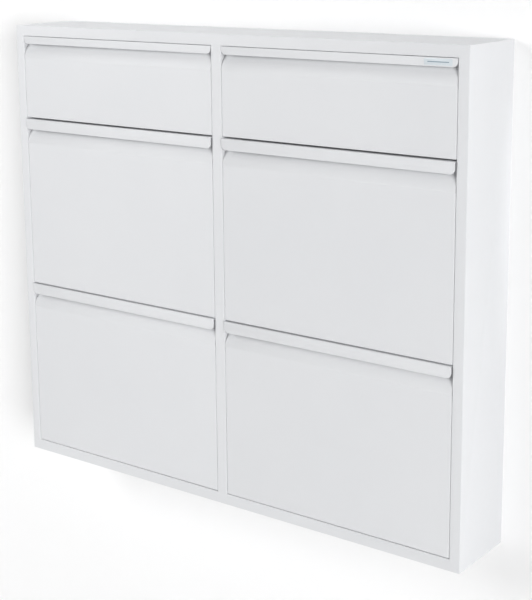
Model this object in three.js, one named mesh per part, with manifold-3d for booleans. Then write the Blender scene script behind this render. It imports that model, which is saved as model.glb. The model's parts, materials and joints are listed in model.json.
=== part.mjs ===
// Wall-hung steel shoe cabinet: a slim welded case with two columns of tip-out flaps.
// Each column has one small flap above two tall ones, and every flap turns about two pins
// near its lower edge. Millimetres; +X is to the right, -Y faces the room and +Z is up.
// The origin is the centre of the back face, where the cabinet meets the wall.
import * as THREE from "three";
import { mergeVertices } from "three/addons/utils/BufferGeometryUtils.js";
import Module from "manifold-3d";

// Outside of the case
const WIDTH = 1180;
const HEIGHT = 1030;
const DEPTH = 176;

// Sheet thicknesses
const CASE_SHEET = 1.2;
const FLAP_SHEET = 1;
const TRAY_SHEET = 0.8;
const BACK_SHEET = 0.8;

// Front frame
const SIDE_STILE = 23.5;
const CENTRE_STILE = 26;
const TOP_RAIL = 24;
const BOTTOM_RAIL = 25;
const FRAME_RETURN = 20; // how far the stiles and rails fold back into the case
const SIDE_REVEAL = 1.1; // gap between a flap and the stiles beside it
const TOP_REVEAL = 0.8; // gap between a small flap and the top rail
const BOTTOM_REVEAL = 1.5; // gap between a flap and the bottom rail, which its lower edge turns into
const WELD_GAP = 0.3; // gap between pieces that touch
const OVERCUT = 1; // how far a cutting shape runs past what it cuts

// Flap heights and the gaps between them
const TALL_PITCH = 395.5; // from the bottom rail to the upper tall flap, and on to the small one
const UPPER_GAP = 3.5; // between the small flap and the tall one below it
const LOWER_GAP = 2; // between the two tall flaps
const SMALL_LIP = 17;
const TALL_LIP = 24;
const TALL_LIP_PROUD = 4; // how far a tall flap's lip stands out in front of its face

// Folded front of a flap
const EDGE_RETURN = 12; // folds at the bottom and side edges
const CHANNEL_DEPTH = 16; // finger channel behind the lip
const CHANNEL_DROP = 22; // from the lip's lower edge down to the start of the slope
const SLOPE_RISE = 24;
const LIP_CORNER = 9;
const HEM_HEIGHT = 5;
const HEM_DEPTH = 2.2;
const RETURN_STOP = 2; // the side folds end this far below the slope

// Hinge pins and stops
const PIVOT_DEPTH = 8; // behind the flap's face
const PIVOT_HEIGHT = 24; // above the flap's lower edge
const PIN_RADIUS = 3;
const PIN_HEAD_RADIUS = 6;
const PIN_HEAD_HEIGHT = 1.6;
const PIN_TAIL = 5; // length beyond the stile's fold
const PIN_CHAMFER = 1;
const PIN_SIDES = 16;
const OPEN_ANGLE = THREE.MathUtils.degToRad(42);
const STOP_RADIUS = 4;
const STOP_SIDES = 12;
const STOP_REACH = 7; // past the flap's side edge, behind the stile's fold

// Pocket inside a flap
const CHEEK_BOTTOM = 8;
const CHEEK_CUT = 30; // length cut off the cheek's lower rear corner
const CHEEK_NECK = 4; // the front edge leaves the face this far below the slope
const CHEEK_TOP_DROP = 5; // from the slope's upper end down to the start of the cheek's top arc
const CHEEK_SETBACK = 2.5; // from the channel wall back to the start of that arc
const CHEEK_ARC_END = THREE.MathUtils.degToRad(76); // where the arc stops
const TRAY_HEIGHT = 34;
const TRAY_SLOPE = 34; // how far the tray's back wall leans
const TRAY_INSET = 4; // from the cheek's rear edge
const GUARD_WIDTH = 62;
const GUARD_INSET = 6;

const TALL_POCKET = { depth: 150, shoulder: 190, heel: 60, trayTop: 120, stopArm: 160, guard: true };
const SMALL_POCKET = { depth: 112, shoulder: 76, heel: 42, trayTop: 70, stopArm: 100, guard: false };

// Small parts
const BUMPER = { width: 8, depth: 8, height: 9, drop: 2 };
const BADGE = { width: 60, height: 12.5, thickness: 0.5, fromEdge: 11 };
const BRACKET = { width: 60, height: 52, thickness: 2, fromSide: 82, slotWidth: 8, slotHeight: 24 };
const NOTCH = { width: 28, height: 58 };

const wasm = await Module();
wasm.setup();

const coat = { color: 0xeef0f3, roughness: 0.42, metalness: 0 };
const looks = {
  coat: () => new THREE.MeshStandardMaterial(coat),
  zinc: () => new THREE.MeshStandardMaterial({ color: 0xb9bcc0, roughness: 0.35, metalness: 1 }),
  rubber: () => new THREE.MeshStandardMaterial({ color: 0xd9dbdd, roughness: 0.8, metalness: 0 }),
  badge: () => new THREE.MeshStandardMaterial({ color: 0xcfe0ee, roughness: 0.3, metalness: 0 }),
};

const cabinet = new THREE.Group();

function addMesh(parent, name, geometry, look) {
  const mesh = new THREE.Mesh(geometry, looks[look]());
  mesh.name = name;
  parent.add(mesh);
  return mesh;
}

// ---- solids ----

function toSolid(geometry) {
  const bare = geometry.clone();
  bare.deleteAttribute("normal");
  bare.deleteAttribute("uv");
  const merged = mergeVertices(bare);
  return new wasm.Manifold(new wasm.Mesh({
    numProp: 3,
    vertProperties: new Float32Array(merged.attributes.position.array),
    triVerts: new Uint32Array(merged.index.array),
  }));
}

function toGeometry(solid) {
  const mesh = solid.getMesh();
  const geometry = new THREE.BufferGeometry();
  geometry.setAttribute("position", new THREE.BufferAttribute(mesh.vertProperties, 3));
  geometry.setIndex(new THREE.BufferAttribute(mesh.triVerts, 1));
  geometry.computeVertexNormals();
  return geometry;
}

function join(first, ...others) {
  return others.reduce((sum, other) => sum.add(toSolid(other)), toSolid(first));
}

function cut(solid, tools) {
  return tools.reduce((rest, tool) => rest.subtract(toSolid(tool)), solid);
}

function ordered(a, b) {
  return [Math.min(a, b), Math.max(a, b)];
}

// A box given by its lower and upper limits along each axis.
function box([x0, x1], [y0, y1], [z0, z1]) {
  const geometry = new THREE.BoxGeometry(x1 - x0, y1 - y0, z1 - z0);
  return geometry.translate((x0 + x1) / 2, (y0 + y1) / 2, (z0 + z1) / 2);
}

// Turns an extrusion so that its outline lies in Y and Z and its length runs along X.
const alongX = new THREE.Matrix4().makeBasis(
  new THREE.Vector3(0, 1, 0), new THREE.Vector3(0, 0, 1), new THREE.Vector3(1, 0, 0));

function extrudeAlongX(shape, x0, x1) {
  const geometry = new THREE.ExtrudeGeometry(shape, { depth: x1 - x0, bevelEnabled: false });
  return geometry.applyMatrix4(alongX).translate(x0, 0, 0);
}

function roundBarAlongX(radius, x0, x1, y, z, sides = PIN_SIDES) {
  const geometry = new THREE.CylinderGeometry(radius, radius, x1 - x0, sides);
  return geometry.rotateZ(Math.PI / 2).translate((x0 + x1) / 2, y, z);
}

// The outline of a sheet folded along a line of points, with the metal on the right of it.
function sheetOutline(points, thickness) {
  const path = points.map(([across, up]) => new THREE.Vector2(across, up));
  const normals = path.slice(1).map((point, i) => {
    const step = point.clone().sub(path[i]).normalize();
    return new THREE.Vector2(step.y, -step.x);
  });
  const far = path.map((point, i) => {
    const before = normals[Math.max(i - 1, 0)];
    const after = normals[Math.min(i, normals.length - 1)];
    const mitre = before.clone().add(after).multiplyScalar(thickness / (1 + before.dot(after)));
    return point.clone().add(mitre);
  });
  return new THREE.Shape([...path, ...far.reverse()]);
}

// ---- case ----

const half = { width: WIDTH / 2, height: HEIGHT / 2 };
const openingWidth = (WIDTH - CENTRE_STILE) / 2 - SIDE_STILE;
const flapWidth = openingWidth - 2 * SIDE_REVEAL;
const flapCentre = (CENTRE_STILE + openingWidth) / 2;
const openingBottom = -half.height + BOTTOM_RAIL;
const openingTop = half.height - TOP_RAIL;
const lowerLine = openingBottom + TALL_PITCH;
const upperLine = lowerLine + TALL_PITCH;

const small = { lip: SMALL_LIP, proud: 0, pocket: SMALL_POCKET };
const tall = { lip: TALL_LIP, proud: TALL_LIP_PROUD, pocket: TALL_POCKET };
const rows = [
  { name: "top", z0: upperLine + UPPER_GAP / 2, z1: openingTop - TOP_REVEAL, ...small },
  { name: "middle", z0: lowerLine + LOWER_GAP / 2, z1: upperLine - UPPER_GAP / 2, ...tall },
  { name: "bottom", z0: openingBottom + BOTTOM_REVEAL, z1: lowerLine - LOWER_GAP / 2, ...tall },
].map((row) => {
  const height = row.z1 - row.z0;
  return { ...row, height, foot: height - row.lip - CHANNEL_DROP };
});
const columns = [
  { name: "left", side: -1 },
  { name: "right", side: 1 },
];

// Clearance holes for the hinge pins, through the folds between x0 and x1.
function pinHoles(x0, x1) {
  return rows.map((row) => roundBarAlongX(
    PIN_RADIUS + WELD_GAP, x0, x1, -DEPTH + PIVOT_DEPTH, row.z0 + PIVOT_HEIGHT));
}

// Side wall, front stile and the stile's inner fold in one sheet. The fold stops short of the
// top and bottom walls, which run to the side wall.
function sidePanel(side) {
  const outer = side * half.width;
  const inner = side * (half.width - SIDE_STILE);
  const path = [[outer, 0], [outer, -DEPTH], [inner, -DEPTH], [inner, -DEPTH + FRAME_RETURN]];
  const shape = sheetOutline(side < 0 ? path.reverse() : path, CASE_SHEET);
  const sheet = new THREE.ExtrudeGeometry(shape, { depth: HEIGHT, bevelEnabled: false });
  sheet.translate(0, 0, -half.height);
  const reach = 2 * CASE_SHEET;
  const fold = [inner - reach, inner + reach];
  const endCuts = [-1, 1].map((end) => box(fold, [-DEPTH + CASE_SHEET, -DEPTH + FRAME_RETURN + OVERCUT],
    ordered(end * (half.height - CASE_SHEET - WELD_GAP), end * (half.height + OVERCUT))));
  return cut(toSolid(sheet), [...pinHoles(...fold), ...endCuts]);
}

// Top or bottom wall with its rail folded down or up and back into the case.
function endPanel(end, rail) {
  const outer = end * half.height;
  const inner = end * (half.height - rail);
  const path = [[0, outer], [-DEPTH, outer], [-DEPTH, inner], [-DEPTH + FRAME_RETURN, inner]];
  const shape = sheetOutline(end > 0 ? path.reverse() : path, CASE_SHEET);
  const railEnd = half.width - SIDE_STILE - WELD_GAP;
  const wallEnd = half.width - CASE_SHEET - WELD_GAP;
  const wall = box([-wallEnd, wallEnd], [-DEPTH + CASE_SHEET + WELD_GAP, 0],
    ordered(outer - end * CASE_SHEET, outer));
  return join(extrudeAlongX(shape, -railEnd, railEnd), wall);
}

function centrePost() {
  const edge = CENTRE_STILE / 2;
  const back = -DEPTH + FRAME_RETURN;
  const path = [[edge, back], [edge, -DEPTH], [-edge, -DEPTH], [-edge, back]];
  const shape = sheetOutline(path, CASE_SHEET);
  const bottom = openingBottom + WELD_GAP;
  const length = openingTop - WELD_GAP - bottom;
  const sheet = new THREE.ExtrudeGeometry(shape, { depth: length, bevelEnabled: false });
  sheet.translate(0, 0, bottom);
  const reach = edge + CASE_SHEET;
  return cut(toSolid(sheet), pinHoles(-reach, reach));
}

const innerHalfHeight = half.height - CASE_SHEET - WELD_GAP;
const innerHalfWidth = half.width - CASE_SHEET - WELD_GAP;
const bracketCentre = half.width - BRACKET.fromSide;

function centrePartition() {
  const front = -DEPTH + FRAME_RETURN + WELD_GAP;
  return box([-CASE_SHEET / 2, CASE_SHEET / 2], [front, -BACK_SHEET - WELD_GAP],
    [-innerHalfHeight, innerHalfHeight]);
}

// Flush back sheet, notched at the top so that the wall screws reach the brackets.
function backPanel() {
  const sheet = toSolid(box([-innerHalfWidth, innerHalfWidth], [-BACK_SHEET, 0],
    [-innerHalfHeight, innerHalfHeight]));
  return cut(sheet, [-1, 1].map((side) => {
    const centre = side * bracketCentre;
    return box([centre - NOTCH.width / 2, centre + NOTCH.width / 2], [-2 * BACK_SHEET, BACK_SHEET],
      [innerHalfHeight - NOTCH.height, innerHalfHeight + OVERCUT]);
  }));
}

// Plate with a slot, open at its lower edge, that drops over a screw in the wall.
function hangingBracket() {
  const edge = BRACKET.width / 2;
  const slot = BRACKET.slotWidth / 2;
  const shape = new THREE.Shape();
  shape.moveTo(-edge, 0);
  shape.lineTo(-slot, 0);
  shape.lineTo(-slot, BRACKET.slotHeight - slot);
  shape.absarc(0, BRACKET.slotHeight - slot, slot, Math.PI, 0, true);
  shape.lineTo(slot, 0);
  shape.lineTo(edge, 0);
  shape.lineTo(edge, BRACKET.height);
  shape.lineTo(-edge, BRACKET.height);
  shape.closePath();
  const plate = new THREE.ExtrudeGeometry(shape, {
    depth: BRACKET.thickness, bevelEnabled: false, curveSegments: 8,
  });
  return plate.rotateX(Math.PI / 2);
}

addMesh(cabinet, "left_side_panel", toGeometry(sidePanel(-1)), "coat");
addMesh(cabinet, "right_side_panel", toGeometry(sidePanel(1)), "coat");
addMesh(cabinet, "top_panel", toGeometry(endPanel(1, TOP_RAIL)), "coat");
addMesh(cabinet, "bottom_panel", toGeometry(endPanel(-1, BOTTOM_RAIL)), "coat");
addMesh(cabinet, "centre_post", toGeometry(centrePost()), "coat");
addMesh(cabinet, "centre_partition", centrePartition(), "coat");
addMesh(cabinet, "back_panel", toGeometry(backPanel()), "coat");
for (const column of columns) {
  const bracket = addMesh(cabinet, `hanging_bracket_${column.name}`, hangingBracket(), "zinc");
  bracket.position.set(column.side * bracketCentre, -BACK_SHEET - WELD_GAP,
    innerHalfHeight - WELD_GAP - BRACKET.height);
}

// ---- flaps ----
// A flap is built in its own group: x = 0 at its middle, y = 0 on its face with +Y going
// into the case, and z = 0 at its lower edge.

// One folded sheet: lower return, face, slope, channel wall, top and hanging lip.
function flapFront({ height, foot, lip, proud }) {
  const lipBack = FLAP_SHEET - proud;
  const path = [
    [EDGE_RETURN, 0],
    [0, 0],
    [0, foot],
    [CHANNEL_DEPTH, foot + SLOPE_RISE],
    [CHANNEL_DEPTH, height - FLAP_SHEET],
    [lipBack, height - FLAP_SHEET],
    [lipBack, height - lip],
  ];
  const edge = flapWidth / 2;
  const sheet = extrudeAlongX(sheetOutline(path, FLAP_SHEET), -edge, edge);
  const hem = box([-edge, edge], [-proud, HEM_DEPTH - proud], [height - lip, height - lip + HEM_HEIGHT]);
  const returns = [-1, 1].map((side) => {
    const limits = ordered(side * (edge - FLAP_SHEET), side * edge);
    return box(limits, [0, EDGE_RETURN], [0, foot - RETURN_STOP]);
  });
  const corners = [-1, 1].map((side) => lipCornerTool(side).translate(side * edge, -proud, height - lip));
  const hole = roundBarAlongX(
    PIN_RADIUS + WELD_GAP, -edge - OVERCUT, edge + OVERCUT, PIVOT_DEPTH, PIVOT_HEIGHT);
  return cut(join(sheet, hem, ...returns), [...corners, hole]);
}

// What is cut away to round a lower corner of the lip, with that corner at its origin.
function lipCornerTool(side) {
  const shape = new THREE.Shape();
  shape.moveTo(-LIP_CORNER, 0);
  shape.absarc(-LIP_CORNER, LIP_CORNER, LIP_CORNER, -Math.PI / 2, 0, false);
  shape.lineTo(OVERCUT, LIP_CORNER);
  shape.lineTo(OVERCUT, -OVERCUT);
  shape.lineTo(-LIP_CORNER, -OVERCUT);
  shape.closePath();
  const tool = new THREE.ExtrudeGeometry(shape, {
    depth: HEM_DEPTH + 2 * OVERCUT, bevelEnabled: false, curveSegments: 6,
  });
  tool.rotateX(Math.PI / 2).translate(0, HEM_DEPTH + OVERCUT, 0);
  return side > 0 ? tool : tool.rotateZ(Math.PI).translate(0, HEM_DEPTH, 0);
}

const pivot = new THREE.Vector2(PIVOT_DEPTH, PIVOT_HEIGHT);
const cheekFace = flapWidth / 2 - FLAP_SHEET - WELD_GAP;
const trayEdge = cheekFace - FLAP_SHEET - WELD_GAP;

// The top edge of a cheek: it starts behind the slope and follows an arc about the pivot.
function cheekArc(foot) {
  const start = new THREE.Vector2(CHANNEL_DEPTH + CHEEK_SETBACK, foot + SLOPE_RISE - CHEEK_TOP_DROP);
  const arm = start.clone().sub(pivot);
  const end = new THREE.Vector2(Math.cos(CHEEK_ARC_END), Math.sin(CHEEK_ARC_END));
  return { start, arm, end: end.multiplyScalar(arm.length()).add(pivot) };
}

// Side plate of the pocket, with the round stop that meets the stile's fold when open.
function flapCheek({ foot, pocket }, side) {
  const front = FLAP_SHEET + WELD_GAP;
  const { start, arm } = cheekArc(foot);
  const shape = new THREE.Shape();
  shape.moveTo(front, CHEEK_BOTTOM);
  shape.lineTo(front, foot - CHEEK_NECK);
  shape.lineTo(start.x, start.y);
  shape.absarc(pivot.x, pivot.y, arm.length(), arm.angle(), CHEEK_ARC_END, true);
  shape.lineTo(pocket.depth, pocket.shoulder);
  shape.lineTo(pocket.depth, pocket.heel);
  shape.lineTo(pocket.depth - CHEEK_CUT, CHEEK_BOTTOM);
  shape.closePath();
  const [x0, x1] = ordered(side * cheekFace, side * (cheekFace - FLAP_SHEET));
  const plate = new THREE.ExtrudeGeometry(shape, {
    depth: x1 - x0, bevelEnabled: false, curveSegments: 10,
  });
  plate.applyMatrix4(alongX).translate(x0, 0, 0);
  const stop = stopPlace(pocket.stopArm);
  const reach = ordered(side * (cheekFace - FLAP_SHEET / 2), side * (flapWidth / 2 + STOP_REACH));
  const stud = roundBarAlongX(STOP_RADIUS, ...reach, stop.x, stop.y, STOP_SIDES);
  const hole = roundBarAlongX(
    PIN_RADIUS + WELD_GAP, x0 - OVERCUT, x1 + OVERCUT, pivot.x, pivot.y);
  return cut(join(plate, stud), [hole]);
}

// The stop lies where turning the flap by the opening angle brings it against the fold.
function stopPlace(arm) {
  const contact = Math.asin((FRAME_RETURN + STOP_RADIUS + WELD_GAP - PIVOT_DEPTH) / arm);
  const lean = OPEN_ANGLE + contact;
  return new THREE.Vector2(Math.sin(lean), Math.cos(lean)).multiplyScalar(arm).add(pivot);
}

// Floor of the pocket, folded up at the back.
function flapTray({ pocket }) {
  const path = [
    [FLAP_SHEET + WELD_GAP, TRAY_HEIGHT],
    [pocket.depth - TRAY_INSET - TRAY_SLOPE, TRAY_HEIGHT],
    [pocket.depth - TRAY_INSET, pocket.trayTop],
  ];
  return extrudeAlongX(sheetOutline(path, TRAY_SHEET), -trayEdge, trayEdge);
}

// Strip across the rear edge of the cheeks that keeps the shoes in the pocket.
function rearGuard({ foot, pocket }) {
  const shoulder = new THREE.Vector2(pocket.depth, pocket.shoulder);
  const along = cheekArc(foot).end.sub(shoulder).normalize();
  const inward = new THREE.Vector2(-along.y, along.x).multiplyScalar(GUARD_INSET);
  const start = shoulder.clone().add(inward).addScaledVector(along, GUARD_INSET);
  const end = start.clone().addScaledVector(along, GUARD_WIDTH);
  return extrudeAlongX(sheetOutline([start.toArray(), end.toArray()], TRAY_SHEET), -trayEdge, trayEdge);
}

// Headed pin through the cheek, the flap's side fold and the stile's fold.
function hingePin(side) {
  const grip = 2 * (WELD_GAP + FLAP_SHEET) + SIDE_REVEAL + CASE_SHEET;
  const length = PIN_HEAD_HEIGHT + grip + PIN_TAIL;
  const profile = [
    [0, 0],
    [PIN_HEAD_RADIUS, 0],
    [PIN_HEAD_RADIUS, PIN_HEAD_HEIGHT],
    [PIN_RADIUS, PIN_HEAD_HEIGHT],
    [PIN_RADIUS, length - PIN_CHAMFER],
    [PIN_RADIUS - PIN_CHAMFER, length],
    [0, length],
  ].map(([radius, along]) => new THREE.Vector2(radius, along));
  const start = cheekFace - FLAP_SHEET - WELD_GAP - PIN_HEAD_HEIGHT;
  const pin = new THREE.LatheGeometry(profile, PIN_SIDES);
  return pin.rotateZ(-side * Math.PI / 2).translate(side * start, PIVOT_DEPTH, PIVOT_HEIGHT);
}

// Soft block on the stile's fold that the back of the finger channel closes against.
function bumper({ height }, side) {
  const edge = openingWidth / 2 - WELD_GAP;
  const front = CHANNEL_DEPTH + FLAP_SHEET + WELD_GAP;
  const top = height - BUMPER.drop;
  return box(ordered(side * (edge - BUMPER.width), side * edge), [front, front + BUMPER.depth],
    [top - BUMPER.height, top]);
}

function badge({ height, lip }) {
  const right = flapWidth / 2 - BADGE.fromEdge;
  const bottom = height - (lip + BADGE.height) / 2;
  return box([right - BADGE.width, right], [-WELD_GAP - BADGE.thickness, -WELD_GAP],
    [bottom, bottom + BADGE.height]);
}

for (const row of rows) {
  for (const column of columns) {
    const label = `${row.name}_${column.name}`;
    const flap = new THREE.Group();
    flap.position.set(column.side * flapCentre, -DEPTH, row.z0);
    cabinet.add(flap);
    addMesh(flap, `${label}_front`, toGeometry(flapFront(row)), "coat");
    for (const { name, side } of columns) {
      addMesh(flap, `${label}_${name}_cheek`, toGeometry(flapCheek(row, side)), "coat");
      addMesh(flap, `${label}_${name}_pin`, hingePin(side), "zinc");
    }
    addMesh(flap, `${label}_tray`, flapTray(row), "coat");
    if (row.pocket.guard) {
      addMesh(flap, `${label}_guard`, rearGuard(row), "coat");
    }
    if (label === "top_right") {
      addMesh(flap, "badge", badge(row), "badge");
    }
    addMesh(flap, `${label}_bumper`, bumper(row, column.side), "rubber");
  }
}

export default cabinet;
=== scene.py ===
"""Wall-hung steel shoe cabinet with tip-out flaps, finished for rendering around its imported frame.

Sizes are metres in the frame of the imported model: +X to the right, -Y into the room, +Z up,
with the origin in the middle of the back face. Every sheet is folded from a flat primitive.
"""
import json
import math

import bmesh
import bpy
from bpy.props import FloatProperty, FloatVectorProperty, PointerProperty
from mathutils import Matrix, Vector


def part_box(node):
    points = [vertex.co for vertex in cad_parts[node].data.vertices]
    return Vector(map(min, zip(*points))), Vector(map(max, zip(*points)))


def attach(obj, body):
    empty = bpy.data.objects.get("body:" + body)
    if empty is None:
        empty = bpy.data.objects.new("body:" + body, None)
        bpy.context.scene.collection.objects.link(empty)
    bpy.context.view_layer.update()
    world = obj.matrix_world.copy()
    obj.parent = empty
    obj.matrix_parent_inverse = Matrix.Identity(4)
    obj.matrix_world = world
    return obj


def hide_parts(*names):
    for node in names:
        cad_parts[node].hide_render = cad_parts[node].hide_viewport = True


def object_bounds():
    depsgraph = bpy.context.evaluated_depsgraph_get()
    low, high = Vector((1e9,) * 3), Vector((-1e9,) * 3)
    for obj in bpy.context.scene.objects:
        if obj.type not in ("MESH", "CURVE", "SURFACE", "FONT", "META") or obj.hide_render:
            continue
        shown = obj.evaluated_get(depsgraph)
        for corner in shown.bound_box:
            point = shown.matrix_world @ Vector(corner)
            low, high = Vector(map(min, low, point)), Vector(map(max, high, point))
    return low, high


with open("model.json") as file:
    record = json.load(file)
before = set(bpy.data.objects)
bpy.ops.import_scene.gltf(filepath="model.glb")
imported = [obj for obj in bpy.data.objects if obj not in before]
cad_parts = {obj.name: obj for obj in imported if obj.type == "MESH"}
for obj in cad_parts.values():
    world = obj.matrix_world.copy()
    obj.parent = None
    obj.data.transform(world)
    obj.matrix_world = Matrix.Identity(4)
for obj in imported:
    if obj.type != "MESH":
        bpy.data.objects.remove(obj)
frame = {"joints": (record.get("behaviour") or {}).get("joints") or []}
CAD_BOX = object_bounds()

bl_info = {
    "name": "Shoe cabinet",
    "version": (1, 0, 0),
    "blender": (4, 5, 0),
    "location": "3D View > Sidebar > Cabinet",
    "description": "Builds a wall-hung steel shoe cabinet with tip-out flaps",
    "category": "Object",
}

MM = 0.001
ROWS = ("top", "middle", "bottom")
COLUMNS = ("left", "right")
SIDES = {"left": -1, "right": 1}
SMOOTH_ANGLE = math.radians(35)
BREAK_ANGLE = math.radians(40)
HINGES = {joint["child"]: joint for joint in frame["joints"]}


# ---- settings ----

def length(name, description, default_mm):
    """A length property whose default is given in millimetres."""
    return FloatProperty(
        name=name, description=description, default=default_mm * MM,
        min=0, precision=5, unit="LENGTH",
    )


def colour(name, description, default):
    """A linear colour property."""
    return FloatVectorProperty(
        name=name, description=description, default=default,
        size=3, min=0, max=1, subtype="COLOR",
    )


def power(name, description, default):
    """The power of a light in watts."""
    return FloatProperty(
        name=name, description=description, default=default, min=0, unit="POWER"
    )


class CabinetSizes(bpy.types.PropertyGroup):
    """Sheet thicknesses, folds and small parts."""

    case_sheet: length("Case sheet", "Thickness of the case's steel", 1.2)
    flap_sheet: length("Flap sheet", "Thickness of the flaps' fronts and cheeks", 1.0)
    thin_sheet: length("Thin sheet", "Thickness of the back, trays and guards", 0.8)
    fold_radius: length("Fold radius", "Outer radius of a tight fold", 1.5)
    slope_blend: length("Slope blend", "Bend where the face turns into the finger channel", 13.0)
    brow_blend: length("Brow blend", "Bend where the slope turns into the channel wall", 6.0)
    edge_break: length("Edge break", "Rounding that the coat leaves on cut edges", 0.25)
    edge_return: length("Edge return", "Depth of the folds at a flap's lower and side edges", 12.0)
    channel_depth: length("Channel depth", "Depth of the finger channel behind the lip", 16.0)
    channel_drop: length("Channel drop", "From the lip's lower edge down to the slope's foot", 22.0)
    slope_rise: length("Slope rise", "Height of the slope below the channel wall", 24.0)
    small_lip: length("Small lip", "Height of the lip on a small flap", 17.0)
    tall_lip: length("Tall lip", "Height of the lip on a tall flap", 24.0)
    lip_proud: length("Proud lip", "How far a tall flap's lip stands out in front of its face", 4.0)
    lip_corner: length("Lip corner", "Radius of the lip's lower corners", 11.0)
    channel_relief: length("Channel relief", "How much narrower the channel is at each end", 2.5)
    hem_height: length("Hem height", "Height of the doubled lower edge of the lip", 4.5)
    hem_depth: length("Hem depth", "What the hem adds behind the lip", 1.2)


class CabinetColours(bpy.types.PropertyGroup):
    """Colours of the finishes."""

    coat: colour("Coat", "Powder coat of the steel", (0.722, 0.730, 0.745))
    coat_deep: colour("Coat, thicker", "Coat where it lies a little thicker", (0.708, 0.717, 0.734))
    zinc: colour("Zinc", "Plating of the pins and brackets", (0.56, 0.57, 0.59))
    zinc_dark: colour("Zinc, dull", "Duller grains of the plating", (0.43, 0.44, 0.46))
    rubber: colour("Rubber", "Bumpers", (0.52, 0.53, 0.54))
    badge: colour("Badge", "Ground of the blank badge", (0.66, 0.715, 0.75))
    stripe: colour("Stripe", "Plain stripe on the badge", (0.27, 0.34, 0.40))
    wall: colour("Wall", "Paint of the wall", (0.92, 0.92, 0.92))
    floor: colour("Floor", "Paint of the floor", (0.80, 0.80, 0.80))


class CabinetStage(bpy.types.PropertyGroup):
    """Camera and light."""

    lens: FloatProperty(
        name="Lens", description="Focal length of the camera", default=82.11, min=1, unit="CAMERA"
    )
    sink: FloatProperty(name="Sink", description="Vertical shift of the lens", default=-0.15)
    floor_drop: length("Floor drop", "From the cabinet down to the floor", 900.0)
    wall_gap: length("Wall gap", "Between the back of the cabinet and the wall", 1.0)
    sky: FloatProperty(
        name="Sky", description="Strength of the even light from all round", default=0.10, min=0
    )
    key_power: power("Key", "Light from the front left", 76.530)
    side_power: power("Side", "Light from the right", 739.615)
    back_power: power("Back", "Light behind the wall", 60.0)
    top_power: power("Top", "Light above the cabinet", 23.466)


def settings():
    """The three groups of settings."""
    scene = bpy.context.scene
    return scene.cabinet_sizes, scene.cabinet_colours, scene.cabinet_stage


# ---- materials ----

def start_material(name):
    """A plain material: itself, its nodes, its links and its shader."""
    material = bpy.data.materials.new(name)
    material.use_nodes = True
    nodes = material.node_tree.nodes
    return material, nodes, material.node_tree.links, nodes["Principled BSDF"]


def add_place(nodes):
    """The object coordinates."""
    return nodes.new("ShaderNodeTexCoord").outputs["Object"]


def add_noise(nodes, links, place, scale, detail=2.0):
    """Soft noise with this many grains to the metre; returns its factor."""
    noise = nodes.new("ShaderNodeTexNoise")
    noise.inputs["Scale"].default_value = scale
    noise.inputs["Detail"].default_value = detail
    links.new(place, noise.inputs["Vector"])
    return noise.outputs["Fac"]


def blend_colours(nodes, links, factor, first, second):
    """A colour between two, chosen by a factor."""
    mix = nodes.new("ShaderNodeMix")
    mix.data_type = "RGBA"
    mix.inputs[6].default_value = (*first, 1)
    mix.inputs[7].default_value = (*second, 1)
    links.new(factor, mix.inputs[0])
    return mix.outputs[2]


def span(nodes, links, factor, low, high, start=0.3, end=0.7):
    """Maps a factor from start..end to low..high."""
    step = nodes.new("ShaderNodeMapRange")
    step.inputs["From Min"].default_value = start
    step.inputs["From Max"].default_value = end
    step.inputs["To Min"].default_value = low
    step.inputs["To Max"].default_value = high
    links.new(factor, step.inputs["Value"])
    return step.outputs["Result"]


def calculate(nodes, links, operation, first, second=0.0):
    """One step of arithmetic on a socket and a second socket or number."""
    step = nodes.new("ShaderNodeMath")
    step.operation = operation
    links.new(first, step.inputs[0])
    if isinstance(second, bpy.types.NodeSocket):
        links.new(second, step.inputs[1])
    else:
        step.inputs[1].default_value = second
    return step.outputs[0]


def choose(nodes, links, factor, first, second):
    """The first shader where the factor is 0 and the second where it is 1."""
    mix = nodes.new("ShaderNodeMixShader")
    for socket, value in zip(mix.inputs, (factor, first, second)):
        links.new(value, socket)
    return mix.outputs[0]


def add_bump(nodes, links, shader, height, strength, distance):
    """Relief from a height factor."""
    bump = nodes.new("ShaderNodeBump")
    bump.inputs["Strength"].default_value = strength
    bump.inputs["Distance"].default_value = distance
    links.new(height, bump.inputs["Height"])
    links.new(bump.outputs["Normal"], shader.inputs["Normal"])


def powder_coat():
    """Satin powder coat: a fine orange-peel skin and a barely uneven film."""
    colours = settings()[1]
    material, nodes, links, shader = start_material("powder_coat")
    place = add_place(nodes)
    film = span(nodes, links, add_noise(nodes, links, place, 3.5, 4), 0, 1)
    tone = blend_colours(nodes, links, film, colours.coat, colours.coat_deep)
    links.new(tone, shader.inputs["Base Color"])
    gloss = span(nodes, links, add_noise(nodes, links, place, 90, 3), 0.54, 0.62)
    links.new(gloss, shader.inputs["Roughness"])
    add_bump(nodes, links, shader, add_noise(nodes, links, place, 1100, 2), 0.18, 0.06 * MM)
    return material


def zinc_plate():
    """Bright zinc plating with small spangles."""
    colours = settings()[1]
    material, nodes, links, shader = start_material("zinc_plate")
    place = add_place(nodes)
    grain = nodes.new("ShaderNodeTexVoronoi")
    grain.inputs["Scale"].default_value = 700
    links.new(place, grain.inputs["Vector"])
    spangle = span(nodes, links, grain.outputs["Distance"], 0, 1, 0, 0.8)
    tone = blend_colours(nodes, links, spangle, colours.zinc, colours.zinc_dark)
    links.new(tone, shader.inputs["Base Color"])
    gloss = span(nodes, links, add_noise(nodes, links, place, 500), 0.28, 0.42)
    links.new(gloss, shader.inputs["Roughness"])
    shader.inputs["Metallic"].default_value = 1
    add_bump(nodes, links, shader, add_noise(nodes, links, place, 2500), 0.1, 0.03 * MM)
    return material


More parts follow.
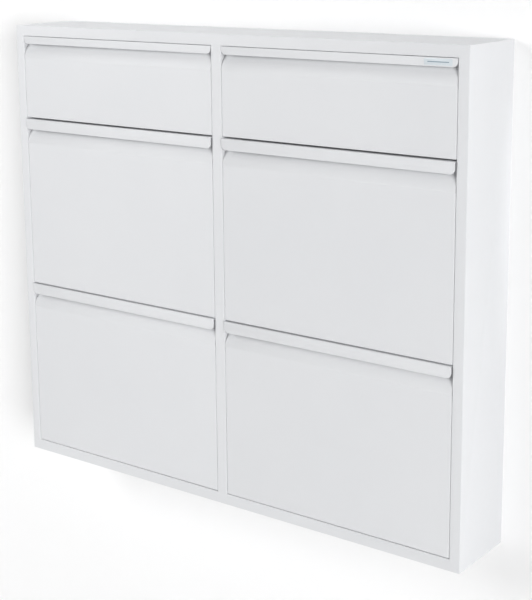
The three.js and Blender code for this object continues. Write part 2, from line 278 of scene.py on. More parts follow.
def soft_rubber():
    """Matt moulded rubber."""
    colours = settings()[1]
    material, nodes, links, shader = start_material("soft_rubber")
    place = add_place(nodes)
    wear = span(nodes, links, add_noise(nodes, links, place, 300, 3), 0, 1)
    worn = [part * 0.86 for part in colours.rubber]
    tone = blend_colours(nodes, links, wear, colours.rubber, worn)
    links.new(tone, shader.inputs["Base Color"])
    gloss = span(nodes, links, add_noise(nodes, links, place, 800), 0.7, 0.85)
    links.new(gloss, shader.inputs["Roughness"])
    add_bump(nodes, links, shader, add_noise(nodes, links, place, 3000), 0.25, 0.04 * MM)
    return material


def badge_film(low, high):
    """Pale glossy film with one plain stripe, between the badge's lowest and highest corners."""
    colours = settings()[1]
    material, nodes, links, shader = start_material("badge_film")
    place = add_place(nodes)
    middle = (low + high) / 2
    size = high - low
    blur = 0.1 * MM
    apart = nodes.new("ShaderNodeSeparateXYZ")
    links.new(place, apart.inputs["Vector"])
    inside = []
    for axis, centre, reach in (("X", middle.x, 0.38 * size.x), ("Z", middle.z, 0.07 * size.z)):
        offset = calculate(nodes, links, "SUBTRACT", apart.outputs[axis], centre)
        away = calculate(nodes, links, "ABSOLUTE", offset)
        inside.append(span(nodes, links, away, 1, 0, reach - blur, reach + blur))
    stripe = calculate(nodes, links, "MULTIPLY", *inside)
    tone = blend_colours(nodes, links, stripe, colours.badge, colours.stripe)
    links.new(tone, shader.inputs["Base Color"])
    gloss = span(nodes, links, add_noise(nodes, links, place, 400), 0.2, 0.28)
    links.new(gloss, shader.inputs["Roughness"])
    return material


FINISHES = {"coat": powder_coat, "zinc": zinc_plate, "rubber": soft_rubber}


def finish_of(slot):
    """The material of a slot, made the first time it is asked for."""
    make = FINISHES[slot]
    return bpy.data.materials.get(make.__name__) or make()


# ---- modelling by hand ----

def clear_selection():
    """Leaves edit mode and deselects every object, so that an operator acts on one piece."""
    if bpy.context.mode != "OBJECT":
        bpy.ops.object.mode_set(mode="OBJECT")
    bpy.ops.object.select_all(action="DESELECT")


def work_on(piece):
    """Makes one piece the only selected and the active object."""
    clear_selection()
    piece.select_set(True)
    bpy.context.view_layer.objects.active = piece


def settle(name):
    """Names the new primitive and puts its place, turn and size into its mesh."""
    bpy.ops.object.transform_apply(location=True, rotation=True, scale=True)
    piece = bpy.context.active_object
    piece.name = name
    piece.data.name = name
    return piece


def add_sheet(name, low, high):
    """A flat plane between two corners that agree along one axis."""
    clear_selection()
    low, high = Vector(low), Vector(high)
    size = high - low
    flat = min(range(3), key=lambda axis: abs(size[axis]))
    turn = [(0, math.pi / 2, 0), (math.pi / 2, 0, 0), (0, 0, 0)][flat]
    spread = [(size.z, size.y, 1), (size.x, size.z, 1), (size.x, size.y, 1)][flat]
    bpy.ops.mesh.primitive_plane_add(size=1, location=(low + high) / 2, rotation=turn)
    bpy.context.active_object.scale = spread
    return settle(name)


def add_block(name, low, high):
    """A cube stretched between two corners."""
    clear_selection()
    low, high = Vector(low), Vector(high)
    bpy.ops.mesh.primitive_cube_add(size=1, location=(low + high) / 2)
    bpy.context.active_object.scale = high - low
    return settle(name)


def add_disc(name, centre, radius, depth, corners=48):
    """A short round bar along X."""
    clear_selection()
    bpy.ops.mesh.primitive_cylinder_add(
        vertices=corners, radius=radius, depth=depth, location=centre,
        rotation=(0, math.pi / 2, 0),
    )
    return settle(name)


def edit(piece):
    """Opens a piece in edit mode with everything selected."""
    work_on(piece)
    bpy.ops.object.mode_set(mode="EDIT")
    bpy.ops.mesh.select_all(action="SELECT")


def leave():
    """Back to object mode."""
    bpy.ops.object.mode_set(mode="OBJECT")


def middle_of(item):
    """The middle of a vertex, an edge or a face."""
    corners = [item] if isinstance(item, bmesh.types.BMVert) else item.verts
    return sum((corner.co for corner in corners), Vector()) / len(corners)


def pick(piece, kind, test):
    """Selects, in edit mode, only the vertices, edges or faces that pass a test."""
    bpy.ops.mesh.select_mode(type=kind)
    bpy.ops.mesh.select_all(action="DESELECT")
    mesh = bmesh.from_edit_mesh(piece.data)
    mesh.normal_update()
    for item in {"VERT": mesh.verts, "EDGE": mesh.edges, "FACE": mesh.faces}[kind]:
        if test(item):
            item.select_set(True)
    mesh.select_flush_mode()
    bmesh.update_edit_mesh(piece.data)


def near(a, b):
    """True where two lengths agree to a hundredth of a millimetre."""
    return abs(a - b) < 0.01 * MM


def extrude(step):
    """Extrudes what is selected by a step."""
    bpy.ops.mesh.extrude_region_move(TRANSFORM_OT_translate={"value": step})


def round_edges(piece, radius, segments, test):
    """Bevels the edges that pass a test into an arc."""
    pick(piece, "EDGE", test)
    bpy.ops.mesh.bevel(
        offset_type="OFFSET", offset=radius, segments=segments, affect="EDGES", profile=0.5
    )


def round_corners(piece, radius, segments, test):
    """Bevels the corners of a flat sheet that pass a test into arcs."""
    pick(piece, "VERT", test)
    bpy.ops.mesh.bevel(
        offset_type="ABSOLUTE", offset=radius, segments=segments, affect="VERTICES", profile=0.5
    )


def split_at(place, normal):
    """Cuts the selected faces along a plane."""
    bpy.ops.mesh.bisect(plane_co=place, plane_no=normal)


def cut_notch(piece, centre, half, level, way):
    """Cuts a strip out of an upright sheet, above a height where way is 1 and below it where -1."""
    for x in (centre - half, centre + half):
        bpy.ops.mesh.select_all(action="SELECT")
        split_at((x, 0, 0), (1, 0, 0))

    def in_strip(face):
        return abs(middle_of(face).x - centre) < half

    pick(piece, "FACE", in_strip)
    split_at((0, 0, level), (0, 0, 1))
    pick(piece, "FACE", lambda face: in_strip(face) and way * (middle_of(face).z - level) > 0)
    bpy.ops.mesh.delete(type="FACE")


def runs_along(edge, axis):
    """True for an edge that runs along an axis."""
    run = edge.verts[0].co - edge.verts[1].co
    return abs(run[axis]) > 0.9 * run.length


def is_inner(edge):
    """True for an edge between two faces."""
    return len(edge.link_faces) == 2


def is_bent(edge, angle=1):
    """True for an edge that two faces meet at by more than an angle in radians."""
    return is_inner(edge) and edge.calc_face_angle(0) > angle


def fold_at(y, z):
    """A test for the fold that runs along X at this depth and height."""

    def test(edge):
        centre = middle_of(edge)
        return runs_along(edge, 0) and near(centre.y, y) and near(centre.z, z)

    return test


def turn_out(piece, direction):
    """Makes the faces of a sheet agree, its widest face along a direction looking that way."""
    bpy.ops.mesh.select_mode(type="FACE")
    bpy.ops.mesh.select_all(action="SELECT")
    bpy.ops.mesh.normals_make_consistent(inside=False)
    mesh = bmesh.from_edit_mesh(piece.data)
    mesh.normal_update()
    direction = Vector(direction)
    widest = max(mesh.faces, key=lambda face: face.calc_area() * abs(face.normal.dot(direction)))
    if widest.normal.dot(direction) < 0:
        bpy.ops.mesh.flip_normals()


def apply_modifier(piece, kind, **values):
    """Adds a modifier, sets it and applies it."""
    work_on(piece)
    modifier = piece.modifiers.new(kind.title(), kind)
    for key, value in values.items():
        setattr(modifier, key, value)
    bpy.ops.object.modifier_apply(modifier=modifier.name)


def thicken(piece, thickness):
    """Gives a folded sheet its thickness, behind the side that its faces look to."""
    apply_modifier(piece, "SOLIDIFY", thickness=thickness, offset=-1, use_even_offset=True)


def break_edges(piece, width, segments=2):
    """Rounds the sharp edges slightly and shades the folds smooth."""
    apply_modifier(
        piece, "BEVEL", width=width, segments=segments, limit_method="ANGLE",
        angle_limit=BREAK_ANGLE, use_clamp_overlap=True,
    )
    work_on(piece)
    bpy.ops.object.shade_smooth_by_angle(angle=SMOOTH_ANGLE)


def copy_to(piece, name, step):
    """A copy with its own mesh, moved by a step."""
    work_on(piece)
    bpy.ops.object.duplicate(linked=False)
    bpy.context.active_object.location = step
    return settle(name)


def make_each(nodes, build):
    """Builds a piece at the first of these nodes and copies it to the others."""
    first, *others = nodes
    low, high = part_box(first)
    model = build(f"{first}_finish", low, high)
    return [model] + [copy_to(model, f"{node}_finish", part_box(node)[0] - low) for node in others]


def hand_over(piece, body, slot, *nodes, material=None):
    """Gives a finished piece its body and the material of its slot, and hides the nodes it stands
    for.
    """
    clear_selection()
    piece.data.materials.clear()
    piece.data.materials.append(material or finish_of(slot))
    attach(piece, body)
    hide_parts(*nodes)


def flap_labels(rows=ROWS):
    """Every flap of these rows, named by its row and column."""
    return [f"{row}_{column}" for row in rows for column in COLUMNS]


def make_for_flaps(build, part, slot, rows=ROWS, ends=("",)):
    """Builds a part once for each height of flap and copies it to the other flaps.

    The part's node is LABEL_PART, or LABEL_END_PART where a flap has one at each end.
    """
    models = {}
    made = []
    for label in flap_labels(rows):
        tall = not label.startswith("top")
        for end in ends:
            node = "_".join(filter(None, (label, end, part)))
            low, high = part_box(node)
            if (tall, end) in models:
                model, start = models[tall, end]
                piece = copy_to(model, f"{node}_finish", low - start)
            else:
                piece = build(f"{node}_finish", label, tall, end, low, high)
                models[tall, end] = piece, low
            made.append((piece, f"{label}_flap", node))
    for piece, body, node in made:
        hand_over(piece, body, slot, node)


def lip_height(tall):
    """Height of the lip on a tall or a small flap."""
    sizes = settings()[0]
    return sizes.tall_lip if tall else sizes.small_lip


# ---- case ----

class CABINET_OT_case(bpy.types.Operator):
    """Welded and coated case: walls, stiles, rails and their inner folds in one skin"""

    bl_idname = "cabinet.case"
    bl_label = "Case"

    def execute(self, context):
        sizes = settings()[0]
        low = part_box("left_side_panel")[0]
        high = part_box("right_side_panel")[1]
        post_low, post_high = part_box("centre_post")
        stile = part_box("left_side_panel")[1].x
        rails = (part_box("bottom_panel")[1].z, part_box("top_panel")[0].z)
        piece = add_block("case_shell", low, high)
        edit(piece)
        pick(piece, "FACE", lambda face: face.normal.y > 0.9)
        bpy.ops.mesh.delete(type="FACE")
        for x in (stile, post_low.x, post_high.x, -stile):
            self.score(piece, (x, 0, 0), (1, 0, 0))
        for z in rails:
            self.score(piece, (0, 0, z), (0, 0, 1))

        def in_opening(face):
            centre = middle_of(face)
            column = post_high.x < abs(centre.x) < -stile
            return face.normal.y < -0.9 and column and rails[0] < centre.z < rails[1]

        pick(piece, "FACE", in_opening)
        extrude((0, post_high.y - post_low.y, 0))
        bpy.ops.mesh.delete(type="FACE")
        round_edges(piece, sizes.fold_radius, 4, lambda edge: self.is_fold(edge, high))
        leave()
        thicken(piece, sizes.case_sheet)
        break_edges(piece, sizes.edge_break)
        hand_over(
            piece, "case", "coat",
            "left_side_panel", "right_side_panel", "top_panel", "bottom_panel", "centre_post",
        )
        return {"FINISHED"}

    @staticmethod
    def score(piece, place, normal):
        """Scores the front face along a plane."""
        pick(piece, "FACE", lambda face: face.normal.y < -0.9)
        split_at(place, normal)

    @staticmethod
    def is_fold(edge, high):
        """True for the outer corners of the case and the front edges of the openings."""
        centre = middle_of(edge)
        outer = near(abs(centre.x), high.x) or near(abs(centre.z), high.z)
        return is_bent(edge) and (outer or not runs_along(edge, 1))


class CABINET_OT_back(bpy.types.Operator):
    """Back sheet with its two notches, and the sheet that parts the columns"""

    bl_idname = "cabinet.back"
    bl_label = "Back and partition"

    NOTCH_HALF = 14 * MM
    NOTCH_HEIGHT = 58 * MM
    NOTCH_CORNER = 4 * MM
    FLANGE = 6 * MM

    def execute(self, context):
        sizes = settings()[0]
        low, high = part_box("back_panel")
        notch_bottom = high.z - self.NOTCH_HEIGHT
        piece = add_sheet("back_sheet", (low.x, high.y, low.z), high)
        edit(piece)
        for column in COLUMNS:
            bracket_low, bracket_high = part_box(f"hanging_bracket_{column}")
            centre = (bracket_low.x + bracket_high.x) / 2
            cut_notch(piece, centre, self.NOTCH_HALF, notch_bottom, 1)
        round_corners(piece, self.NOTCH_CORNER, 5, lambda corner: near(corner.co.z, notch_bottom))
        turn_out(piece, (0, 1, 0))
        leave()
        thicken(piece, sizes.thin_sheet)
        break_edges(piece, sizes.edge_break)
        hand_over(piece, "case", "coat", "back_panel")

        low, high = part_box("centre_partition")
        piece = add_sheet("partition_sheet", (high.x, low.y, low.z), high)
        edit(piece)
        for y in (low.y, high.y):
            pick(piece, "EDGE", lambda edge, y=y: near(middle_of(edge).y, y))
            extrude((-self.FLANGE, 0, 0))
        turn_out(piece, (1, 0, 0))
        round_edges(piece, sizes.fold_radius, 4, is_inner)
        leave()
        thicken(piece, sizes.case_sheet)
        break_edges(piece, sizes.edge_break)
        hand_over(piece, "case", "coat", "centre_partition")
        return {"FINISHED"}


class CABINET_OT_brackets(bpy.types.Operator):
    """Plated plates whose slots drop over the wall screws"""

    bl_idname = "cabinet.brackets"
    bl_label = "Hanging brackets"

    SLOT_HALF = 4 * MM
    SLOT_HEIGHT = 24 * MM
    SLOT_ROUND = 0.96 * SLOT_HALF
    CORNER = 5 * MM
    EDGE = 0.3 * MM

    def execute(self, context):
        nodes = [f"hanging_bracket_{column}" for column in COLUMNS]
        for node, piece in zip(nodes, make_each(nodes, self.build)):
            hand_over(piece, "case", "zinc", node)
        return {"FINISHED"}

    def build(self, name, low, high):
        """A plate with a round-ended slot that is open at the bottom."""
        slot_top = low.z + self.SLOT_HEIGHT
        piece = add_sheet(name, (low.x, high.y, low.z), high)
        edit(piece)
        cut_notch(piece, (low.x + high.x) / 2, self.SLOT_HALF, slot_top, -1)
        round_corners(piece, self.SLOT_ROUND, 6, lambda corner: near(corner.co.z, slot_top))
        round_corners(piece, self.CORNER, 5, lambda corner: self.is_outer(corner, low, high))
        turn_out(piece, (0, 1, 0))
        leave()
        thicken(piece, high.y - low.y)
        break_edges(piece, self.EDGE)
        return piece

    @staticmethod
    def is_outer(corner, low, high):
        """True at the four corners of the plate."""
        at_side = near(corner.co.x, low.x) or near(corner.co.x, high.x)
        return at_side and (near(corner.co.z, low.z) or near(corner.co.z, high.z))


class CABINET_OT_bumpers(bpy.types.Operator):
    """Rubber blocks that the flaps close against"""

    bl_idname = "cabinet.bumpers"
    bl_label = "Bumpers"

    PAD_HEIGHT = 1.2 * MM
    PAD_INSET = 1.6 * MM
    EDGE = 0.7 * MM

    def execute(self, context):
        nodes = [f"{label}_bumper" for label in flap_labels()]
        for node, piece in zip(nodes, make_each(nodes, self.build)):
            hand_over(piece, "case", "rubber", node)
        return {"FINISHED"}

    def build(self, name, low, high):
        """A block with a raised pad that the flap meets."""
        piece = add_block(name, low + Vector((0, self.PAD_HEIGHT, 0)), high)
        edit(piece)
        pick(piece, "FACE", lambda face: face.normal.y < -0.9)
        bpy.ops.mesh.inset(thickness=self.PAD_INSET)
        extrude((0, -self.PAD_HEIGHT, 0))
        leave()
        break_edges(piece, self.EDGE, 3)
        return piece


# ---- flaps ----

class CABINET_OT_fronts(bpy.types.Operator):
    """Folded fronts with their finger channels and hanging lips"""

    bl_idname = "cabinet.fronts"
    bl_label = "Flap fronts"

    SHORTEST_SIDE = 20 * MM

    def execute(self, context):
        make_for_flaps(self.build, "front", "coat")
        return {"FINISHED"}

    def build(self, name, label, tall, end, low, high):
        """One sheet folded from the lower edge up the face, round the channel and down the lip."""
        sizes = settings()[0]
        sheet = sizes.flap_sheet
        face = low.y + (sizes.lip_proud if tall else 0)
        foot = high.z - lip_height(tall) - sizes.channel_drop
        brow = foot + sizes.slope_rise
        wall = face + sizes.channel_depth
        roof = high.z - sheet
        lip_back = low.y + sheet
        lip_low = high.z - lip_height(tall)
        hem_top = lip_low + sizes.hem_height
        piece = add_sheet(name, (low.x, face, low.z), (high.x, face + sizes.edge_return, low.z))
        edit(piece)
        pick(piece, "EDGE", fold_at(face, low.z))
        for step in (
            (0, 0, foot - low.z),
            (0, wall - face, brow - foot),
            (0, 0, roof - brow),
            (0, lip_back - wall, 0),
            (0, 0, lip_low - roof),
        ):
            extrude(step)
        for side, x in ((1, low.x), (-1, high.x)):
            pick(piece, "VERT", lambda corner, x=x: (
                near(corner.co.y, wall) and near(corner.co.x, x)
            ))
            bpy.ops.transform.translate(value=(side * sizes.channel_relief, 0, 0))
        turn_out(piece, (0, -1, 0))
        round_corners(piece, sizes.lip_corner, 8, lambda corner: (
            near(corner.co.y, lip_back) and near(corner.co.z, lip_low)
        ))
        round_edges(piece, sizes.fold_radius, 4, fold_at(face, low.z))
        round_edges(piece, sizes.slope_blend, 12, fold_at(face, foot))
        round_edges(piece, sizes.brow_blend, 6, fold_at(wall, brow))
        inner_radius = sizes.fold_radius - sheet
        round_edges(piece, inner_radius, 4, fold_at(wall, roof))
        round_edges(piece, inner_radius, 4, fold_at(lip_back, roof))

        def is_lip(item):
            centre = middle_of(item)
            return near(centre.y, lip_back) and centre.z > lip_low

        pick(piece, "FACE", is_lip)
        split_at((0, 0, hem_top), (0, 0, 1))
        pick(piece, "EDGE", lambda edge: self.is_side(edge, low, high, face, foot))
        extrude((0, sizes.edge_return, 0))
        turn_out(piece, (0, -1, 0))
        round_edges(piece, sizes.fold_radius, 4, lambda edge: (
            is_bent(edge) and self.is_upright(edge, low, high, face)
        ))
        leave()
        thicken(piece, sheet)

        edit(piece)
        pick(piece, "FACE", lambda item: (
            item.normal.y > 0.9
            and near(middle_of(item).y, lip_back) and middle_of(item).z < hem_top
        ))
        extrude((0, sizes.hem_depth, 0))
        leave()
        break_edges(piece, sizes.edge_break)
        return piece

    @staticmethod
    def is_upright(edge, low, high, face):
        """True for the upright edges at the sides of the face."""
        centre = middle_of(edge)
        at_side = near(centre.x, low.x) or near(centre.x, high.x)
        return runs_along(edge, 2) and at_side and near(centre.y, face)

    def is_side(self, edge, low, high, face, foot):
        """True for the long side edges of the face, which get a fold."""
        long = edge.calc_length() > self.SHORTEST_SIDE
        return long and self.is_upright(edge, low, high, face) and middle_of(edge).z < foot


class CABINET_OT_cheeks(bpy.types.Operator):
    """Side plates of the pockets, with a rear fold and the round stop"""

    bl_idname = "cabinet.cheeks"
    bl_label = "Cheeks"

    # Heights above the flap's lower edge, and from the pivot to the stop
    SMALL = {"shoulder": 76 * MM, "heel": 42 * MM, "arm": 100 * MM}
    TALL = {"shoulder": 190 * MM, "heel": 60 * MM, "arm": 160 * MM}
    SETBACK = 2.5 * MM
    TOP_DROP = 5 * MM
    NECK = 4 * MM
    HEEL_CUT = 30 * MM
    ARC_END = math.radians(76)
    CORNER = 9 * MM
    REAR_FOLD = 9 * MM
    REAR_RADIUS = 1.2 * MM
    STOP_RADIUS = 4 * MM
    STOP_EDGE = 0.6 * MM
    STOP_GAP = 0.3 * MM

    def execute(self, context):
        make_for_flaps(self.build, "cheek", "coat", ends=COLUMNS)
        return {"FINISHED"}

    def build(self, name, label, tall, end, low, high):
        """The plate's outline is cut from a sheet along the lines between its corners."""
        sizes = settings()[0]
        side = SIDES[end]
        pocket = self.TALL if tall else self.SMALL
        front_low, front_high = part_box(f"{label}_front")
        foot = front_high.z - lip_height(tall) - sizes.channel_drop
        pivot = Vector(HINGES[f"{label}_flap"]["pos_m"])
        inner, tip = (low.x, high.x) if side > 0 else (high.x, low.x)
        outer = inner + side * sizes.flap_sheet
        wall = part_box("centre_post")[0].y + sizes.channel_depth
        start = Vector((0, wall + self.SETBACK, foot + sizes.slope_rise - self.TOP_DROP))
        reach = math.hypot(start.y - pivot.y, start.z - pivot.z)
        arc_end = pivot + reach * Vector((0, math.cos(self.ARC_END), math.sin(self.ARC_END)))
        shoulder = Vector((0, high.y, front_low.z + pocket["shoulder"]))
        heel = Vector((0, high.y, front_low.z + pocket["heel"]))
        sole = Vector((0, high.y - self.HEEL_CUT, low.z))
        neck = Vector((0, low.y, foot - self.NECK))
        piece = add_sheet(name, (outer, low.y, low.z), (outer, high.y, high.z))
        edit(piece)
        for first, second in ((start, neck), (arc_end, start), (shoulder, arc_end), (sole, heel)):
            run = second - first
            bpy.ops.mesh.select_all(action="SELECT")
            bpy.ops.mesh.bisect(plane_co=first, plane_no=(0, run.z, -run.y), clear_outer=True)
        round_corners(piece, self.CORNER, 6, lambda corner: True)
        pick(piece, "EDGE", lambda edge: self.is_rear(edge, heel.z))
        extrude((-side * self.REAR_FOLD, 0, 0))
        turn_out(piece, (side, 0, 0))
        round_edges(piece, self.REAR_RADIUS, 3, lambda edge: (
            is_bent(edge) and near(middle_of(edge).x, outer)
        ))
        leave()
        thicken(piece, sizes.flap_sheet)
        break_edges(piece, sizes.edge_break)

        place = ((outer + tip) / 2, *self.stop_place(pivot, pocket["arm"], label))
        stop = add_disc(f"{name}_stop", place, self.STOP_RADIUS, abs(tip - outer))
        break_edges(stop, self.STOP_EDGE, 3)
        work_on(piece)
        stop.select_set(True)
        bpy.ops.object.join()
        return bpy.context.active_object

    @staticmethod
    def is_rear(edge, heel_height):
        """True for the edges that look to the rear, above the heel."""
        centre = middle_of(edge)
        run = edge.verts[1].co - edge.verts[0].co
        away = Vector((0, run.z, -run.y)).normalized()
        if away.dot(centre - middle_of(edge.link_faces[0])) < 0:
            away = -away
        return away.y > 0.5 and centre.z > heel_height - 1 * MM

    def stop_place(self, pivot, arm, label):
        """Depth and height of the stop, which meets the stile's fold at the hinge's limit."""
        fold_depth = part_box("centre_post")[1].y - pivot.y
        contact = math.asin((fold_depth + self.STOP_RADIUS + self.STOP_GAP) / arm)
        lean = math.radians(HINGES[f"{label}_flap"]["range_deg"][1]) + contact
        return pivot.y + arm * math.sin(lean), pivot.z + arm * math.cos(lean)


class CABINET_OT_trays(bpy.types.Operator):
    """Floors of the pockets, folded up at the front, back and ends"""

    bl_idname = "cabinet.trays"
    bl_label = "Trays"

    BACK_LEAN = 34 * MM
    FLANGE = 10 * MM

    def execute(self, context):
        make_for_flaps(self.build, "tray", "coat")
        return {"FINISHED"}

    def build(self, name, label, tall, end, low, high):
        """A flat floor with a leaning back wall and low flanges."""
        sizes = settings()[0]
        bend = high.y - self.BACK_LEAN
        piece = add_sheet(name, low, (high.x, bend, low.z))
        edit(piece)
        pick(piece, "EDGE", fold_at(bend, low.z))
        extrude((0, high.y - bend, high.z - low.z))
        pick(piece, "EDGE", fold_at(low.y, low.z))
        extrude((0, 0, self.FLANGE))

        def is_end(edge):
            centre = middle_of(edge)
            return not runs_along(edge, 0) and near(centre.z, low.z) and centre.y > low.y

        pick(piece, "EDGE", is_end)
        extrude((0, 0, self.FLANGE))
        turn_out(piece, (0, 0, -1))
        round_edges(piece, sizes.fold_radius, 4, lambda edge: is_bent(edge, 0.3))
        leave()
        thicken(piece, sizes.thin_sheet)
        break_edges(piece, sizes.edge_break)
        return piece


class CABINET_OT_guards(bpy.types.Operator):
    """Strips across the rear of the tall pockets, with both long edges folded in"""

    bl_idname = "cabinet.guards"
    bl_label = "Rear guards"

    FOLD = 6 * MM

    def execute(self, context):
        make_for_flaps(self.build, "guard", "coat", rows=("middle", "bottom"))
        return {"FINISHED"}

    def build(self, name, label, tall, end, low, high):
        """A leaning strip between two folds."""
        sizes = settings()[0]
        piece = add_sheet(name, (low.x, high.y - self.FOLD, low.z), (high.x, high.y, low.z))
        edit(piece)
        pick(piece, "EDGE", fold_at(high.y, low.z))
        extrude((0, low.y - high.y, high.z - low.z))
        extrude((0, -self.FOLD, 0))
        turn_out(piece, (0, 1, 0))
        round_edges(piece, sizes.fold_radius, 4, is_inner)
        leave()
        thicken(piece, sizes.thin_sheet)
        break_edges(piece, sizes.edge_break)
        return piece


class CABINET_OT_pins(bpy.types.Operator):
    """Headed hinge pins"""

    bl_idname = "cabinet.pins"
    bl_label = "Hinge pins"

    HEAD = 1.6 * MM
    SHANK_RADIUS = 3 * MM
    CROWN = 0.7 * MM
    EDGE = 0.3 * MM

    def execute(self, context):
        make_for_flaps(self.build, "pin", "zinc", ends=COLUMNS)
        return {"FINISHED"}

    def build(self, name, label, tall, end, low, high):
        """A crowned head inside the pocket and a shank that runs out through the stile's fold."""
        side = SIDES[end]
        middle = (low + high) / 2
        inner = low.x if side > 0 else high.x
        head_radius = (high.z - low.z) / 2
        centre = (inner + side * self.HEAD / 2, middle.y, middle.z)
        piece = add_disc(name, centre, head_radius, self.HEAD)
        edit(piece)
        round_edges(piece, self.CROWN, 4, lambda edge: near(middle_of(edge).x, inner))
        pick(piece, "FACE", lambda face: face.normal.x * side > 0.9)
        bpy.ops.mesh.inset(thickness=head_radius - self.SHANK_RADIUS)
        extrude((side * (high.x - low.x - self.HEAD), 0, 0))
        leave()
        break_edges(piece, self.EDGE)
        return piece


class CABINET_OT_badge(bpy.types.Operator):
    """Blank film badge at the right end of the upper right lip"""

    bl_idname = "cabinet.badge"
    bl_label = "Badge"

    FILM = 0.3 * MM
    CORNER = 1.5 * MM
    EDGE = 0.08 * MM

    def execute(self, context):
        low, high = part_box("badge")
        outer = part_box("top_right_front")[0].y - self.FILM
        piece = add_sheet("badge_film_piece", (low.x, outer, low.z), (high.x, outer, high.z))
        edit(piece)
        round_corners(piece, self.CORNER, 5, lambda corner: True)
        turn_out(piece, (0, -1, 0))
        leave()
        thicken(piece, self.FILM)
        break_edges(piece, self.EDGE)
        hand_over(piece, "top_right_flap", "badge", "badge", material=badge_film(low, high))
        return {"FINISHED"}


# ---- stage ----

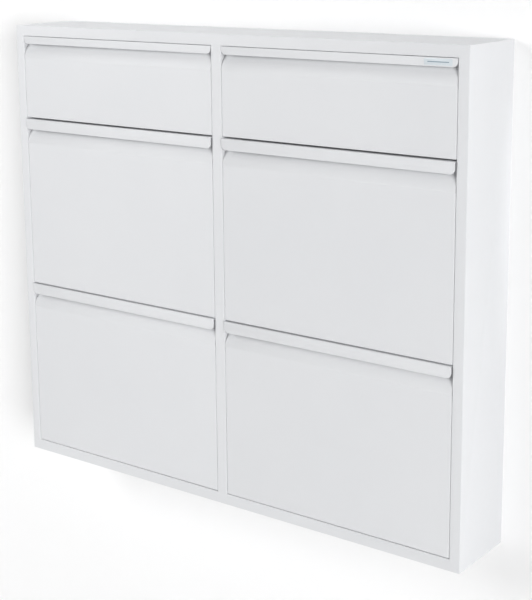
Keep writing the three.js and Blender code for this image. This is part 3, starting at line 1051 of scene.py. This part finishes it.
class CABINET_OT_stage(bpy.types.Operator):
    """Pale floor and wall, soft light and the camera"""

    bl_idname = "cabinet.stage"
    bl_label = "Stage"

    CAMERA_PLACE = Vector((1.7752, -2.3881, 0.71))
    CAMERA_TURN = Vector((78.709, 0.481, 36.603))
    REACH = 7.0
    WALL_GLOW = 0.03
    BACKDROP = (0.9, 0.9, 0.9)
    # Name, place, what it looks at, side length, and the setting that holds its power
    LIGHTS = (
        ("front_light", (-2.4, -2.9, 1.4), (-0.2, 0, 0.1), 2.0, "key_power"),
        ("side_light", (8.4, -6.4, 0.9), (0, 0, 0), 3.6, "side_power"),
        ("back_light", (0, 4.0, -0.5), (0, 0, -0.2), 0.9, "back_power"),
        ("top_light", (0, -0.15, 3.4), (0, -0.1, 0), 0.9, "top_power"),
    )

    def execute(self, context):
        _sizes, colours, stage = settings()
        low, high = CAD_BOX
        reach = self.REACH
        floor_z = low.z - stage.floor_drop
        wall_y = high.y + stage.wall_gap
        floor = add_sheet("floor", (-reach, -reach, floor_z), (reach, reach, floor_z))
        floor.data.materials.append(self.matt_paint("stage_paint", colours.floor)[0])
        wall = add_sheet("wall", (-reach, wall_y, floor_z), (reach, wall_y, floor_z + reach))
        wall.data.materials.append(self.wall_paint(colours.wall))
        clear_selection()
        for name, place, target, size, setting in self.LIGHTS:
            self.add_light(name, place, target, size, getattr(stage, setting))
        self.light_sky(context.scene, stage.sky)
        self.add_camera(context.scene, stage)
        context.scene.view_settings.view_transform = "Standard"
        return {"FINISHED"}

    @staticmethod
    def matt_paint(name, tone):
        """Plain matt paint: the material, its nodes, its links and its shader."""
        material, nodes, links, shader = start_material(name)
        shader.inputs["Base Color"].default_value = (*tone, 1)
        shader.inputs["Roughness"].default_value = 0.9
        shader.inputs["Specular IOR Level"].default_value = 0.1
        return material, nodes, links, shader

    def wall_paint(self, tone):
        """Matt paint on the room's side only: the wall is clear from behind and to shadows."""
        material, nodes, links, shader = self.matt_paint("wall_paint", tone)
        path = nodes.new("ShaderNodeLightPath").outputs
        behind = nodes.new("ShaderNodeNewGeometry").outputs["Backfacing"]
        clear = nodes.new("ShaderNodeBsdfTransparent")
        glow = nodes.new("ShaderNodeEmission")
        glow.inputs["Strength"].default_value = self.WALL_GLOW
        lifted = nodes.new("ShaderNodeAddShader")
        links.new(shader.outputs[0], lifted.inputs[0])
        links.new(glow.outputs[0], lifted.inputs[1])
        paint = choose(nodes, links, path["Is Camera Ray"], shader.outputs[0], lifted.outputs[0])
        passes = calculate(nodes, links, "MAXIMUM", behind, path["Is Shadow Ray"])
        surface = choose(nodes, links, passes, paint, clear.outputs[0])
        links.new(surface, nodes["Material Output"].inputs["Surface"])
        return material

    @staticmethod
    def add_light(name, place, target, size, energy):
        """A square soft light that looks at a target."""
        light = bpy.data.lights.new(name, "AREA")
        light.shape = "SQUARE"
        light.size = size
        light.energy = energy
        lamp = bpy.data.objects.new(name, light)
        lamp.location = place
        lamp.rotation_euler = (Vector(target) - Vector(place)).to_track_quat("-Z", "Y").to_euler()
        bpy.context.scene.collection.objects.link(lamp)

    def light_sky(self, scene, strength):
        """Even white light from all round, before a pale backdrop."""
        world = bpy.data.worlds.new("studio")
        world.use_nodes = True
        nodes = world.node_tree.nodes
        links = world.node_tree.links
        sky = nodes["Background"]
        sky.inputs["Color"].default_value = (1, 1, 1, 1)
        sky.inputs["Strength"].default_value = strength
        backdrop = nodes.new("ShaderNodeBackground")
        backdrop.inputs["Color"].default_value = (*self.BACKDROP, 1)
        seen = nodes.new("ShaderNodeLightPath").outputs["Is Camera Ray"]
        surface = choose(nodes, links, seen, sky.outputs[0], backdrop.outputs[0])
        links.new(surface, nodes["World Output"].inputs["Surface"])
        scene.world = world

    def add_camera(self, scene, stage):
        """Camera to the right of the cabinet and above its middle."""
        lens = bpy.data.cameras.new("camera")
        lens.lens = stage.lens
        lens.shift_y = stage.sink
        camera = bpy.data.objects.new("camera", lens)
        camera.location = self.CAMERA_PLACE
        camera.rotation_euler = [math.radians(angle) for angle in self.CAMERA_TURN]
        scene.collection.objects.link(camera)
        scene.camera = camera


# ---- panel ----

BUILDERS = (
    CABINET_OT_stage,
    CABINET_OT_case,
    CABINET_OT_back,
    CABINET_OT_brackets,
    CABINET_OT_bumpers,
    CABINET_OT_fronts,
    CABINET_OT_cheeks,
    CABINET_OT_trays,
    CABINET_OT_guards,
    CABINET_OT_pins,
    CABINET_OT_badge,
)


class CABINET_PT_sidebar(bpy.types.Panel):
    """Settings of the cabinet and the steps that build it"""

    bl_idname = "CABINET_PT_sidebar"
    bl_label = "Shoe cabinet"
    bl_space_type = "VIEW_3D"
    bl_region_type = "UI"
    bl_category = "Cabinet"

    def draw(self, context):
        for group in settings():
            column = self.layout.column()
            for name in group.__annotations__:
                column.prop(group, name)
        for builder in BUILDERS:
            self.layout.operator(builder.bl_idname)


CLASSES = (CabinetSizes, CabinetColours, CabinetStage, *BUILDERS, CABINET_PT_sidebar)
GROUPS = {
    "cabinet_sizes": CabinetSizes,
    "cabinet_colours": CabinetColours,
    "cabinet_stage": CabinetStage,
}


def register():
    for item in CLASSES:
        bpy.utils.register_class(item)
    for name, group in GROUPS.items():
        setattr(bpy.types.Scene, name, PointerProperty(type=group))


def unregister():
    for name in GROUPS:
        delattr(bpy.types.Scene, name)
    for item in reversed(CLASSES):
        bpy.utils.unregister_class(item)


def main():
    """Builds everything in order."""
    register()
    for builder in BUILDERS:
        group, name = builder.bl_idname.split(".")
        getattr(getattr(bpy.ops, group), name)()
    clear_selection()


if __name__ == "__main__":
    main()
